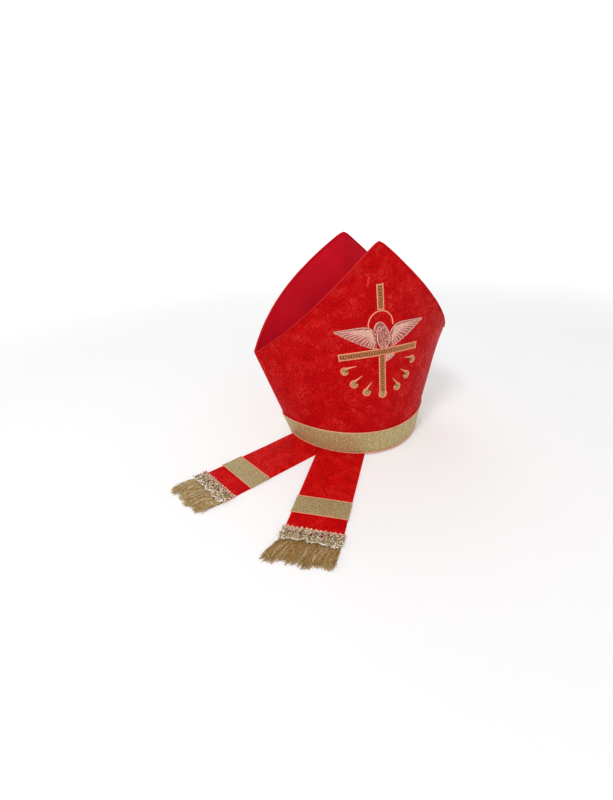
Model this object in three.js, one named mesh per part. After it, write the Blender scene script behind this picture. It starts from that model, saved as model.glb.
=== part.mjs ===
// A bishop's mitre standing on its rim, with its two lappets laid flat on the
// table in front of it.  Millimetres, +Z up, the front panel faces -Y.  The
// origin is on the table, below the middle of the head opening.
import * as THREE from "three";

// ---- driving dimensions -------------------------------------------------
const GAP = 0.3; // air between two pieces that touch
const WALL = 2.4; // damask, stiffener and lining of a panel together
const LAPPET_THICK = 2.0;
const RIM_Z = LAPPET_THICK + GAP; // the rim rests on the lappets

const BASE = { halfWidth: 98.8, halfDepth: 93.4, roundness: 0.637 };
const CORNER = { halfWidth: 145, halfDepth: 86, roundness: 0.99, height: 130.5 };
const PEAK_HEIGHT = 273;
const PEAK_BLUNT = 3; // radius that takes the point off each peak
const FRONT = { side: -1, peakDepth: 67.4, edgeSwell: 0.15 };
const BACK = { side: 1, peakDepth: 45.1, edgeSwell: 0.285 };

const GALLOON_HEIGHT = 33.2;
const GALLOON_THICK = 1;
const EDGE_CORD = 1.7; // the cord along each long edge of the headband

const LINING_THICK = 0.8;
const LINING_DROP = 3; // the lining is sewn this far below the slanted edge
const LINING_SAG = 22; // how far the fold hangs below the side corners
const LINING_REACH = 0.93; // share of the corner half width that it spans
const LINING_CLEAR = 1.2; // keeps it off the flat facets of the panels

const EMBROIDERY_THICK = 0.9;
const MOTIF = { across: 2.2, height: 140, tilt: THREE.MathUtils.degToRad(1.5) };
const BAR_WIDTH = 9.2;

const LAPPET_HALF = 33;
const STRIPE = 30; // galloon across the lappet
const RED_END = 23; // damask between the galloon and the bead lace
const LACE = 17; // bead lace, without its scallops
const LACE_THICK = 2.7;
const SCALLOP = 5;
const FRINGE = 30;
const LAPPET_FRAMES = {
  left: { x: -171.1, y: -70.1, heading: -66.7, fringeLeft: -34, fringeRight: 26 },
  right: { x: -105.6, y: -163.8, heading: -32.1, fringeLeft: -44, fringeRight: 29 },
};

// ---- materials ------------------------------------------------------------
const cloth = (color, roughness, metalness = 0) =>
  new THREE.MeshStandardMaterial({ color, roughness, metalness });
const damask = cloth(0xc8141c, 0.55);
const lining = cloth(0xb81428, 0.6);
const galloon = cloth(0xb49a60, 0.45, 0.5);
const edgeCord = cloth(0xe29a72, 0.5, 0.2);
const goldThread = cloth(0xe6a070, 0.45, 0.3);
const doveThread = cloth(0xdcb8b0, 0.5, 0.2);
const beadLace = cloth(0xc9b79a, 0.3, 0.5);
const fringeThread = cloth(0xb08a4a, 0.5, 0.4);

// ---- solids from pairs of grids -------------------------------------------
// A shell joins grid a (its outside) to grid b (its inside).  Both are lists
// of rows of points.  A round shell closes on itself after its last row.
function shell(a, b, round = false) {
  const rows = a.length;
  const columns = a[0].length;
  const position = [...a.flat(), ...b.flat()].flatMap((p) => [p.x, p.y, p.z]);
  const index = [];
  const quad = (p, q, r, s) => index.push(p, q, r, p, r, s);
  const at = (grid, row, column) => (grid * rows + (row % rows)) * columns + column;
  const last = columns - 1;
  for (let i = 0; i < (round ? rows : rows - 1); i += 1) {
    for (let j = 0; j < last; j += 1) {
      quad(at(0, i, j), at(0, i + 1, j), at(0, i + 1, j + 1), at(0, i, j + 1));
      quad(at(1, i, j), at(1, i, j + 1), at(1, i + 1, j + 1), at(1, i + 1, j));
    }
    quad(at(0, i, 0), at(1, i, 0), at(1, i + 1, 0), at(0, i + 1, 0));
    quad(at(0, i, last), at(0, i + 1, last), at(1, i + 1, last), at(1, i, last));
  }
  for (let j = 0; j < last && !round; j += 1) {
    const end = rows - 1;
    quad(at(0, 0, j), at(0, 0, j + 1), at(1, 0, j + 1), at(1, 0, j));
    quad(at(0, end, j), at(1, end, j), at(1, end, j + 1), at(0, end, j + 1));
  }
  if (signedVolume(position, index) < 0) index.reverse();
  const geometry = new THREE.BufferGeometry();
  geometry.setAttribute("position", new THREE.Float32BufferAttribute(position, 3));
  geometry.setIndex(index);
  geometry.computeVertexNormals();
  return geometry;
}

function signedVolume(position, index) {
  const point = (i) => new THREE.Vector3().fromArray(position, 3 * index[i]);
  let volume = 0;
  for (let i = 0; i < index.length; i += 3) {
    volume += point(i).dot(point(i + 1).cross(point(i + 2)));
  }
  return volume;
}

const steps = (from, to, count) =>
  Array.from({ length: count + 1 }, (_, i) => from + ((to - from) * i) / count);

// value of a table of [place, value] rows at a place between its rows
function along(table, place, column = 1) {
  const next = table.findIndex((row) => row[0] >= place);
  if (next < 0) return table.at(-1)[column];
  if (next === 0) return table[0][column];
  const [low, high] = [table[next - 1], table[next]];
  const share = (place - low[0]) / (high[0] - low[0]);
  return low[column] + share * (high[column] - low[column]);
}

// ---- the form of the mitre --------------------------------------------------
// Heights here are above the rim.  At every height a panel is one curve from
// side seam to side seam, fuller at the head band than at the corners.
const halfWidth = (z) =>
  BASE.halfWidth + ((CORNER.halfWidth - BASE.halfWidth) * z) / CORNER.height;

function halfDepth(panel, z) {
  const [zb, zc, zp] = [0, CORNER.height, PEAK_HEIGHT];
  const base = (BASE.halfDepth * (z - zc) * (z - zp)) / ((zb - zc) * (zb - zp));
  const corner = (CORNER.halfDepth * (z - zb) * (z - zp)) / ((zc - zb) * (zc - zp));
  const peak = (panel.peakDepth * (z - zb) * (z - zc)) / ((zp - zb) * (zp - zc));
  return base + corner + peak;
}

const roundness = (z) =>
  THREE.MathUtils.lerp(BASE.roundness, CORNER.roundness, Math.min(z / CORNER.height, 1));

// half width of the panel on its slanted edge, at a height above the corners
function edgeHalfWidth(panel, z) {
  const t = (z - CORNER.height) / (PEAK_HEIGHT - CORNER.height);
  const sharp = CORNER.halfWidth * (1 - t) * (1 + panel.edgeSwell * t);
  return Math.sqrt(Math.max((sharp + PEAK_BLUNT) ** 2 - PEAK_BLUNT ** 2, 0));
}

// height of the slanted edge over a share of the half width
function edgeHeight(panel, share) {
  let [low, high] = [CORNER.height, PEAK_HEIGHT + PEAK_BLUNT];
  for (let i = 0; i < 40; i += 1) {
    const middle = (low + high) / 2;
    const inside = edgeHalfWidth(panel, middle) > Math.abs(share) * halfWidth(middle);
    if (inside) low = middle;
    else high = middle;
  }
  return low;
}

// a point of the panel: share of the half width from the middle, height above
// the rim, and depth into the wall from its outer face
function panelPoint(panel, share, z, depth = 0) {
  const power = roundness(z);
  const slant = THREE.MathUtils.lerp(1, 1.3, Math.min(z / CORNER.height, 1));
  const bow = (halfDepth(panel, z) - depth) * (1 - share * share) ** power;
  const x = share * (halfWidth(z) - slant * depth);
  return new THREE.Vector3(x, panel.side * (GAP / 2 + bow), RIM_Z + z);
}

function panelGeometry(panel, columns = 32, rows = 12) {
  const shares = steps(-90, 90, columns).map((a) =>
    THREE.MathUtils.clamp(Math.sin(THREE.MathUtils.degToRad(a)), -1, 1));
  const grid = (depth) =>
    shares.map((share) => {
      const top = edgeHeight(panel, share);
      return steps(0, top, rows).map((z) => panelPoint(panel, share, z, depth));
    });
  return shell(grid(0), grid(WALL));
}

// ---- head band --------------------------------------------------------------
// A ring round both panels.  Its profile is two lists of [height, distance
// from the panel's face], outside and inside.
function ringGeometry(outside, inside, columns = 56) {
  const row = (angle, profile) =>
    profile.map(([z, out]) => {
      const panel = Math.cos(angle) > 0 ? FRONT : BACK;
      const share = Math.sin(angle);
      return panelPoint(panel, share, z, -out);
    });
  const angles = steps(0, 2 * Math.PI, columns).slice(0, columns);
  return shell(
    angles.map((a) => row(a, outside)),
    angles.map((a) => row(a, inside)),
    true,
  );
}

const bandIn = GAP + 0.2;
const bandOut = bandIn + GALLOON_THICK;
const bandLow = EDGE_CORD + GAP;
const bandHigh = GALLOON_HEIGHT - EDGE_CORD - GAP;

function edgeCordGeometry(z) {
  const r = EDGE_CORD / 2;
  const middle = bandIn + r;
  const outside = [[z - r, middle], [z, middle + r], [z + r, middle]];
  const inside = [[z - 0.6 * r, bandIn + 0.2], [z, bandIn], [z + 0.6 * r, bandIn + 0.2]];
  return ringGeometry(outside, inside);
}

// ---- crown lining -----------------------------------------------------------
// One cloth between the slanted edges, folded down along the line that joins
// the side corners.
function liningGeometry(columns = 28, rows = 7) {
  const reach = LINING_REACH * CORNER.halfWidth;
  const soft = 0.12; // how wide the fold is, as a share of the way to an edge
  const edge = (panel, x) => {
    let share = x / CORNER.halfWidth;
    for (let i = 0; i < 12; i += 1) {
      const z = edgeHeight(panel, share) - LINING_DROP;
      share = x / (halfWidth(z) - WALL - LINING_CLEAR);
    }
    const z = edgeHeight(panel, share) - LINING_DROP;
    return panelPoint(panel, share, z, WALL + LINING_CLEAR);
  };
  const fold = (x) => {
    const sag = LINING_SAG * (1 - (x / reach) ** 2);
    return new THREE.Vector3(x, 0, RIM_Z + CORNER.height - sag);
  };
  const half = (x, panel, share) => {
    const top = edge(panel, x);
    const bottom = fold(x);
    const rise = (Math.hypot(share, soft) - soft) / (Math.hypot(1, soft) - soft);
    const y = THREE.MathUtils.lerp(bottom.y, top.y, share);
    return new THREE.Vector3(x, y, THREE.MathUtils.lerp(bottom.z, top.z, rise));
  };
  const path = (x) => [
    ...steps(1, 0, rows).map((share) => half(x, FRONT, share ** 1.5)),
    ...steps(0, 1, rows).slice(1).map((share) => half(x, BACK, share ** 1.5)),
  ];
  const under = steps(-reach, reach, columns).map(path);
  const upper = under.map((line) => line.map((point, i) => {
    const next = line[Math.min(i + 1, line.length - 1)];
    const before = line[Math.max(i - 1, 0)];
    const run = next.clone().sub(before).normalize();
    return point.clone().add(new THREE.Vector3(0, -run.z, run.y).multiplyScalar(LINING_THICK));
  }));
  return shell(upper, under);
}

// ---- embroidery ---------------------------------------------------------------
// The motif is drawn flat, in millimetres across and up from the crossing of
// the bars, and laid along the curve of the front panel.
function onPanel(across, up, lift) {
  const u = MOTIF.across + across * Math.cos(MOTIF.tilt) - up * Math.sin(MOTIF.tilt);
  const z = MOTIF.height + across * Math.sin(MOTIF.tilt) + up * Math.cos(MOTIF.tilt);
  const share = shareAtArc(u, z);
  return panelPoint(FRONT, share, z, -lift);
}

// share of the half width at a length measured along the cloth
function shareAtArc(arc, z, step = 0.002) {
  let share = 0;
  let length = 0;
  let before = panelPoint(FRONT, 0, z);
  while (length < Math.abs(arc)) {
    const here = panelPoint(FRONT, share + step, z);
    const run = here.distanceTo(before);
    const part = Math.min((Math.abs(arc) - length) / run, 1);
    share += step * part;
    length += run;
    before = here;
  }
  return Math.sign(arc) * share;
}

// a raised ribbon of stitching between rows of [x1, y1, x2, y2]
function stitched(rows) {
  const grid = (lift) =>
    rows.map(([x1, y1, x2, y2]) => steps(0, 1, 2).map((t) =>
      onPanel(x1 + t * (x2 - x1), y1 + t * (y2 - y1), lift)));
  return shell(grid(GAP + EMBROIDERY_THICK), grid(GAP));
}

const bar = (x1, y1, x2, y2, width, count) => {
  const length = Math.hypot(x2 - x1, y2 - y1);
  const [nx, ny] = [(-(y2 - y1) / length) * (width / 2), ((x2 - x1) / length) * (width / 2)];
  return steps(0, 1, count).map((t) => {
    const [x, y] = [x1 + t * (x2 - x1), y1 + t * (y2 - y1)];
    return [x + nx, y + ny, x - nx, y - ny];
  });
};

const HALO = { x: -0.5, y: 37, radius: 16.5, width: 1.8, from: -4, to: 184 };
const halo = () =>
  steps(HALO.from, HALO.to, 22).map((degrees) => {
    const a = THREE.MathUtils.degToRad(degrees);
    const [inner, outer] = [HALO.radius - HALO.width / 2, HALO.radius + HALO.width / 2];
    const rim = (r) => [HALO.x + r * Math.cos(a), HALO.y + r * Math.sin(a)];
    return [...rim(inner), ...rim(outer)];
  });

const CROSSBAR = { half: 56.3, y: -1 };
const UPPER_BAR = { low: 54.8, high: 85.5 };
const LOWER_BAR = { high: CROSSBAR.y - BAR_WIDTH / 2 - GAP, low: -49.5, drop: 6 };

// half widths of the lower bar, which ends in a drop: [height, half width]
const lowerBar = () => {
  const { high, low, drop } = LOWER_BAR;
  const shaft = steps(high, low, 5).map((y) => [-BAR_WIDTH / 2, y, BAR_WIDTH / 2, y]);
  const round = steps(35, 172, 6).map((degrees) => {
    const a = THREE.MathUtils.degToRad(degrees);
    const [x, y] = [drop * Math.sin(a), low - 0.8 * drop + drop * Math.cos(a)];
    return [-x, y, x, y];
  });
  return [...shaft, ...round.slice(1)];
};

// the dove's head and body: height, left side, right side
const DOVE_BODY = [
  [40, -4.2, -0.6], [37.5, -7.4, 2.6], [33, -9, 5.6], [29, -7.8, 8], [25, -5.8, 9.8],
  [20, -5.8, 11.2], [15, -5, 10.9], [10, -2.4, 8.2], [6.2, 0.6, 4.2],
];
// a wing: distance out from the dove's middle, upper edge, lower edge
const DOVE_WING = [
  [10.4, 26.5, 9], [15, 31, 9.5], [21, 34.2, 11.5], [29, 35.2, 15], [38, 34.8, 19.5],
  [46, 34.2, 24], [54, 33.6, 28.4], [62, 32.8, 32.2],
];
const DOVE_MIDDLE = 2.2;
const DOVE_TAIL = [
  [5.4, -6.2, 4.9, -14], [9.5, -6.2, 9, -12.4], [14, -6.2, 14.4, -10], [19, -6.2, 20, -7.6],
];
const doveBody = () => DOVE_BODY.map(([y, left, right]) => [left, y, right, y]);
const doveWing = (hand) =>
  DOVE_WING.map(([out, top, low]) => [DOVE_MIDDLE + hand * out, top, DOVE_MIDDLE + hand * out, low]);

// the flames, mirrored left and right: middle of the bulb, then its tip
const FLAMES = [
  [49, -18.7, 34, -12.6], [38, -36.8, 26.6, -26], [21.7, -49, 14.6, -35.8],
];
const FLAME_SHAPE = [
  [0, 1.6], [0.12, 4.4], [0.27, 5.6], [0.42, 4.9], [0.56, 2.6], [0.75, 1.2], [1, 0.5],
];
const FLAME_BULB = 5.6;
function flame([x1, y1, x2, y2], hand) {
  const run = new THREE.Vector2(hand * (x2 - x1), y2 - y1);
  const length = run.length() + FLAME_BULB;
  run.normalize();
  return FLAME_SHAPE.map(([t, half]) => {
    const x = hand * x1 + run.x * (t * length - FLAME_BULB);
    const y = y1 + run.y * (t * length - FLAME_BULB);
    return [x - run.y * half, y + run.x * half, x + run.y * half, y - run.x * half];
  });
}

// ---- lappets ------------------------------------------------------------------
// Each lappet has its own flat frame: s along it towards the fringe from the
// galloon's far edge, e across it towards its right-hand edge.
function onTable(frame, s, e, z = 0) {
  const a = THREE.MathUtils.degToRad(frame.heading);
  const x = frame.x + s * Math.sin(a) + e * Math.cos(a);
  const y = frame.y - s * Math.cos(a) + e * Math.sin(a);
  return new THREE.Vector3(x, y, z);
}

const S_LACE = STRIPE + RED_END;
const S_CLOTH = S_LACE + 13; // the cloth ends under the bead lace
const S_BACK = -280; // the right lappet's end, under the rim at the back
const S_MEET = -78.4; // where the left lappet comes up against the right one
const S_RIM = -93.5; // where its other edge goes under the rim
const BACK_CORNER = new THREE.Vector3(-60, 67, 0); // its end at the back

function slab(points, thick, z = 0) {
  const shape = new THREE.Shape(points.map((p) => new THREE.Vector2(p.x, p.y)));
  const geometry = new THREE.ExtrudeGeometry(shape, { depth: thick, bevelEnabled: false });
  return geometry.translate(0, 0, z);
}

function lappetOutline(name) {
  const frame = LAPPET_FRAMES[name];
  const end = [onTable(frame, S_CLOTH, -LAPPET_HALF), onTable(frame, S_CLOTH, LAPPET_HALF)];
  if (name === "right") {
    return [...end, onTable(frame, S_BACK, LAPPET_HALF), onTable(frame, S_BACK, -LAPPET_HALF)];
  }
  const beside = onTable(LAPPET_FRAMES.right, S_BACK, -LAPPET_HALF - 2 * GAP);
  const meet = onTable(frame, S_MEET, LAPPET_HALF);
  return [...end, meet, beside, BACK_CORNER, onTable(frame, S_RIM, -LAPPET_HALF)];
}

const stripe = (frame) =>
  slab(
    [[0, -1], [0, 1], [STRIPE, 1], [STRIPE, -1]].map(([s, hand]) =>
      onTable(frame, s, hand * LAPPET_HALF)),
    GALLOON_THICK,
    LAPPET_THICK + GAP,
  );

// the bead lace: straight above, five scallops below
function laceOutline(frame) {
  const half = LAPPET_HALF + 2;
  const low = steps(half, -half, 30).map((e) => {
    const wave = Math.abs(Math.sin((2.5 * Math.PI * (e + half)) / half));
    return onTable(frame, S_LACE + LACE + SCALLOP * wave, e);
  });
  return [onTable(frame, S_LACE, -half), onTable(frame, S_LACE, half), ...low];
}

// the fringe: hidden under the lace, then full, then thin at its tips.
// Place along it, top surface, share of the way to the splayed tips.
const FRINGE_HEAD = 10;
const FRINGE_FORM = [
  [0, LAPPET_THICK, 0], [FRINGE_HEAD, LAPPET_THICK, 0.1], [FRINGE_HEAD + 4, 4.6, 0.25],
  [FRINGE_HEAD + 16, 4.4, 0.6], [FRINGE_HEAD + FRINGE - 2, 2.6, 1],
];
function fringeGeometry(frame) {
  const start = S_CLOTH + GAP;
  const across = steps(0, 1, 8);
  const grid = (lower) =>
    FRINGE_FORM.map(([s, top, splay]) => across.map((t) => {
      const left = THREE.MathUtils.lerp(-LAPPET_HALF, frame.fringeLeft, splay);
      const right = THREE.MathUtils.lerp(LAPPET_HALF, frame.fringeRight, splay);
      return onTable(frame, start + s, THREE.MathUtils.lerp(left, right, t), lower ? 0 : top);
    }));
  return shell(grid(false), grid(true));
}

// ---- the assembly --------------------------------------------------------------
const mitre = new THREE.Group();
function add(name, geometry, material) {
  const mesh = new THREE.Mesh(geometry, material);
  mesh.name = name;
  mitre.add(mesh);
}

add("front_panel", panelGeometry(FRONT), damask);
add("back_panel", panelGeometry(BACK), damask);
add("crown_lining", liningGeometry(), lining);
add(
  "headband_galloon",
  ringGeometry([[bandLow, bandOut], [bandHigh, bandOut]], [[bandLow, bandIn], [bandHigh, bandIn]]),
  galloon,
);
add("headband_lower_cord", edgeCordGeometry(EDGE_CORD / 2), edgeCord);
add("headband_upper_cord", edgeCordGeometry(GALLOON_HEIGHT - EDGE_CORD / 2), edgeCord);

const { half, y } = CROSSBAR;
add("cross_upper_bar", stitched(bar(0, UPPER_BAR.low, 0, UPPER_BAR.high, BAR_WIDTH, 3)), goldThread);
add("cross_crossbar", stitched(bar(-half, y, half, y, BAR_WIDTH, 12)), goldThread);
add("cross_lower_bar", stitched(lowerBar()), goldThread);
add("halo", stitched(halo()), goldThread);
add("dove_body", stitched(doveBody()), doveThread);
add("dove_left_wing", stitched(doveWing(-1)), doveThread);
add("dove_right_wing", stitched(doveWing(1)), doveThread);
add("dove_tail", stitched(DOVE_TAIL), doveThread);
for (const [hand, side] of [[-1, "left"], [1, "right"]]) {
  FLAMES.forEach((row, i) => add(`flame_${side}_${i + 1}`, stitched(flame(row, hand)), goldThread));
}

for (const [name, frame] of Object.entries(LAPPET_FRAMES)) {
  add(`lappet_${name}`, slab(lappetOutline(name), LAPPET_THICK), damask);
  add(`lappet_${name}_galloon`, stripe(frame), galloon);
  add(`lappet_${name}_bead_lace`, slab(laceOutline(frame), LACE_THICK, LAPPET_THICK + GAP), beadLace);
  add(`lappet_${name}_fringe`, fringeGeometry(frame), fringeThread);
}

export default mitre;
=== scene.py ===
"""A bishop's mitre of red damask with gold galloon, an embroidered cross and dove,
and two fringed lappets laid flat.  Metres, +Z up, the front panel faces -Y."""
import math
import random

import bmesh
import bpy
from mathutils import Matrix, Vector


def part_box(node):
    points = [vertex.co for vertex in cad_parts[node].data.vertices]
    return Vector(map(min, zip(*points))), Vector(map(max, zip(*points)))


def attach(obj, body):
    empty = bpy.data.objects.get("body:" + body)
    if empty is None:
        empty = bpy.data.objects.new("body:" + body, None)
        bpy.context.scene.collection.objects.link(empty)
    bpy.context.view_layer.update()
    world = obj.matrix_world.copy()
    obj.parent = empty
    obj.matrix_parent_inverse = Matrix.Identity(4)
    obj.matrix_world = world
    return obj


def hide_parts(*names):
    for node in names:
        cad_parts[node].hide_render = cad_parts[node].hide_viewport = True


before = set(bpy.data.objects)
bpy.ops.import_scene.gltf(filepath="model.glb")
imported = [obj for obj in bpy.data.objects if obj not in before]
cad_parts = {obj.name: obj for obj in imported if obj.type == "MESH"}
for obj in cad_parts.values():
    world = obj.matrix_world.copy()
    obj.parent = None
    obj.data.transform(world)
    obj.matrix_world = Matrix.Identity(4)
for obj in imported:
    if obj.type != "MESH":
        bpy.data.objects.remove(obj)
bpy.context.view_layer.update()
random.seed(7)
MM = 0.001


# ---- sizes, from the frame --------------------------------------------------
def low(node):
    return Vector(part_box(node)[0])


def high(node):
    return Vector(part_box(node)[1])


RIM_Z = low("front_panel").z
PEAK = high("front_panel").z - RIM_Z
CORNER_HALF = high("front_panel").x
LAPPET_TOP = high("lappet_right").z
BAND_HEIGHT = high("headband_upper_cord").z - RIM_Z
FRINGE_TOP = high("lappet_right_fringe").z
LACE_TOP = high("lappet_right_bead_lace").z

BASE = {"half": 98.8 * MM, "depth": 93.4 * MM, "round": 0.637}
CORNER = {"half": 145 * MM, "depth": 86 * MM, "round": 0.99, "z": 130.5 * MM}
BLUNT = 3 * MM
FRONT = {"side": -1, "peak": 67.4 * MM, "swell": 0.15}
BACK = {"side": 1, "peak": 45.1 * MM, "swell": 0.285}
WALL = 2.4 * MM

MOTIF = {"across": 1.0 * MM, "up": 140.8 * MM, "tilt": math.radians(1.5)}
LAPPET_HALF = 33 * MM
STRIPE = 30 * MM
S_LACE = STRIPE + 23 * MM
S_CLOTH = S_LACE + 13 * MM
LACE_DEEP = 17 * MM
LAPPETS = {
    "left": {"x": -171.1 * MM, "y": -70.1 * MM, "heading": -66.7, "tips": (-34, 26)},
    "right": {"x": -105.6 * MM, "y": -163.8 * MM, "heading": -32.1, "tips": (-44, 29)},
}


# ---- node groups shared by materials ----------------------------------------
class Nodes:
    """A node tree with a short way to add and join nodes."""

    def __init__(self, tree):
        self.tree = tree

    def add(self, kind, inputs=None, **settings):
        node = self.tree.nodes.new("ShaderNode" + kind)
        for name, value in settings.items():
            setattr(node, name, value)
        for name, value in (inputs or {}).items():
            if hasattr(value, "is_output"):
                self.tree.links.new(value, node.inputs[name])
            else:
                node.inputs[name].default_value = value
        return node

    def math(self, operation, a, b=0.0, c=0.0, clamp=False):
        node = self.add("Math", {0: a, 1: b, 2: c}, operation=operation, use_clamp=clamp)
        return node.outputs[0]

    def mix(self, share, a, b):
        node = self.add("Mix", {"Factor": share, 6: a, 7: b}, data_type="RGBA")
        return node.outputs[2]

    def step(self, value, start, end):
        """0 below start, 1 above end, smooth between."""
        node = self.add("MapRange", {"Value": value, "From Min": start, "From Max": end},
                        interpolation_type="SMOOTHSTEP")
        return node.outputs[0]


def new_group(name, inputs, outputs):
    tree = bpy.data.node_groups.new(name, "ShaderNodeTree")
    for socket, kind, value in inputs:
        made = tree.interface.new_socket(socket, in_out="INPUT", socket_type="NodeSocket" + kind)
        if value is not None:
            made.default_value = value
    for socket, kind in outputs:
        tree.interface.new_socket(socket, in_out="OUTPUT", socket_type="NodeSocket" + kind)
    source = tree.nodes.new("NodeGroupInput")
    sink = tree.nodes.new("NodeGroupOutput")
    return tree, Nodes(tree), source.outputs, sink


def cloth_weave():
    """Warp and weft bumps from cloth coordinates in metres."""
    tree, n, ins, sink = new_group(
        "cloth_weave",
        [("Cloth", "Vector", None), ("Threads", "Float", 2500.0)],
        [("Height", "Float")],
    )
    xyz = n.add("SeparateXYZ", {0: ins["Cloth"]}).outputs
    turn = n.math("MULTIPLY", ins["Threads"], 2 * math.pi)
    warp = n.math("SINE", n.math("MULTIPLY", xyz[0], turn))
    weft = n.math("SINE", n.math("MULTIPLY", xyz[1], turn))
    both = n.math("MULTIPLY", warp, weft)
    tree.links.new(n.math("MULTIPLY_ADD", both, 0.5, 0.5), sink.inputs["Height"])
    return tree


def damask_flowers():
    """Curling stems and open flowers of a jacquard damask, as masks."""
    tree, n, ins, sink = new_group(
        "damask_flowers",
        [("Cloth", "Vector", None), ("Curl Spacing", "Float", 5.2 * MM)],
        [("Figure", "Float"), ("Outline", "Float")],
    )
    wobble = n.add("TexNoise", {"Vector": ins["Cloth"], "Scale": 130.0, "Detail": 2.0})
    centred = n.add("VectorMath", {0: wobble.outputs["Color"], 1: (0.5, 0.5, 0.5)},
                    operation="SUBTRACT")
    shift = n.add("VectorMath", {0: centred.outputs[0], "Scale": 8 * MM}, operation="SCALE")
    bent = n.add("VectorMath", {0: ins["Cloth"], 1: shift.outputs[0]}, operation="ADD").outputs[0]

    def around(scale, randomness):
        """Distance and angle from the middle of the nearest flower."""
        cell = n.add("TexVoronoi", {"Vector": bent, "Scale": scale, "Randomness": randomness})
        away = n.add("VectorMath", {0: bent, 1: cell.outputs["Position"]}, operation="SUBTRACT")
        xyz = n.add("SeparateXYZ", {0: away.outputs[0]}).outputs
        reach = n.math("SQRT", n.math("ADD", n.math("POWER", n.math("ABSOLUTE", xyz[0]), 2.0),
                                      n.math("POWER", n.math("ABSOLUTE", xyz[1]), 2.0)))
        return reach, n.math("ARCTAN2", xyz[1], xyz[0])

    def scroll(scale, randomness, size):
        reach, angle = around(scale, randomness)
        turns = n.math("DIVIDE", reach, ins["Curl Spacing"])
        wave = n.math("SINE", n.math("MULTIPLY_ADD", turns, 2 * math.pi, angle))
        band = n.math("MULTIPLY_ADD", wave, 0.8 * MM, -0.25 * MM)
        return n.math("MINIMUM", band, n.math("SUBTRACT", size, reach))

    def bloom(scale, randomness, size, petals):
        reach, angle = around(scale, randomness)
        petal = n.math("ABSOLUTE", n.math("SINE", n.math("MULTIPLY", angle, petals / 2)))
        edge = n.math("MULTIPLY_ADD", petal, 0.5 * size, 0.5 * size)
        whole = n.math("SUBTRACT", edge, reach)
        gap = n.math("SUBTRACT", n.math("ABSOLUTE", n.math("SUBTRACT", reach, 0.36 * size)), 0.5 * MM)
        return n.math("MINIMUM", whole, gap)

    curls = n.math("MAXIMUM", scroll(38.0, 0.8, 12 * MM), scroll(61.0, 1.0, 6 * MM))
    flowers = n.math("MAXIMUM", bloom(24.0, 0.55, 8.5 * MM, 5), bloom(47.0, 0.9, 4.2 * MM, 4))
    veins = n.add("TexVoronoi", {"Vector": bent, "Scale": 120.0}, feature="DISTANCE_TO_EDGE")
    leaf = n.math("MULTIPLY_ADD", veins.outputs["Distance"], 4 * MM, -1.3 * MM)
    field = n.math("MAXIMUM", n.math("MAXIMUM", curls, flowers), leaf)
    tree.links.new(n.step(field, -0.25 * MM, 0.3 * MM), sink.inputs["Figure"])
    rim = n.math("SUBTRACT", 1.0, n.step(n.math("ABSOLUTE", field), 0.0, 0.42 * MM))
    tree.links.new(rim, sink.inputs["Outline"])
    return tree


def metal_thread():
    """Painted glints and ribs of metallic thread, from cloth coordinates in metres."""
    tree, n, ins, sink = new_group(
        "metal_thread",
        [("Cloth", "Vector", None), ("Ribs", "Float", 900.0), ("Grain", "Float", 1300.0)],
        [("Painted Glint", "Float"), ("Shade", "Float"), ("Height", "Float")],
    )
    cells = n.add("TexVoronoi", {"Vector": ins["Cloth"], "Scale": ins["Grain"]})
    tone = n.add("SeparateXYZ", {0: cells.outputs["Color"]}).outputs
    patch = n.add("TexNoise", {"Vector": ins["Cloth"], "Scale": 260.0, "Detail": 3.0})
    # Painted highlight: a few cells are picked out as glints.
    tree.links.new(n.step(tone[0], 0.84, 0.98), sink.inputs["Painted Glint"])
    shade = n.math("MULTIPLY_ADD", tone[1], 0.55, n.math("MULTIPLY", patch.outputs[0], 0.45))
    tree.links.new(shade, sink.inputs["Shade"])
    xyz = n.add("SeparateXYZ", {0: ins["Cloth"]}).outputs
    turn = n.math("MULTIPLY", ins["Ribs"], 2 * math.pi)
    rib = n.math("SINE", n.math("MULTIPLY", xyz[0], turn))
    height = n.math("ADD", n.math("MULTIPLY", rib, 0.3), tone[2])
    tree.links.new(height, sink.inputs["Height"])
    return tree


GROUPS = {make.__name__: make() for make in (cloth_weave, damask_flowers, metal_thread)}


# ---- materials --------------------------------------------------------------
def srgb(r, g, b):
    return tuple(((c / 255 + 0.055) / 1.055) ** 2.4 if c > 10 else c / 3294 for c in (r, g, b)) + (1,)


def surface(name, roughness=0.5, metallic=0.0, sheen=0.0, sheen_tint=(1, 1, 1, 1), specular=0.5):
    material = bpy.data.materials.new(name)
    material.use_nodes = True
    n = Nodes(material.node_tree)
    shader = material.node_tree.nodes["Principled BSDF"]
    shader.inputs["Roughness"].default_value = roughness
    shader.inputs["Metallic"].default_value = metallic
    shader.inputs["Sheen Weight"].default_value = sheen
    shader.inputs["Sheen Tint"].default_value = sheen_tint
    shader.inputs["Specular IOR Level"].default_value = specular
    return material, n, shader


def cloth_coordinates(n):
    return n.add("UVMap", uv_map="cloth").outputs[0]


def use(n, group, inputs):
    node = n.add("Group", inputs={}, node_tree=GROUPS[group])
    for name, value in inputs.items():
        if hasattr(value, "is_output"):
            n.tree.links.new(value, node.inputs[name])
        else:
            node.inputs[name].default_value = value
    return node.outputs


def bump(n, shader, height, distance, strength=1.0):
    node = n.add("Bump", {"Height": height, "Distance": distance, "Strength": strength})
    n.tree.links.new(node.outputs[0], shader.inputs["Normal"])


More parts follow.
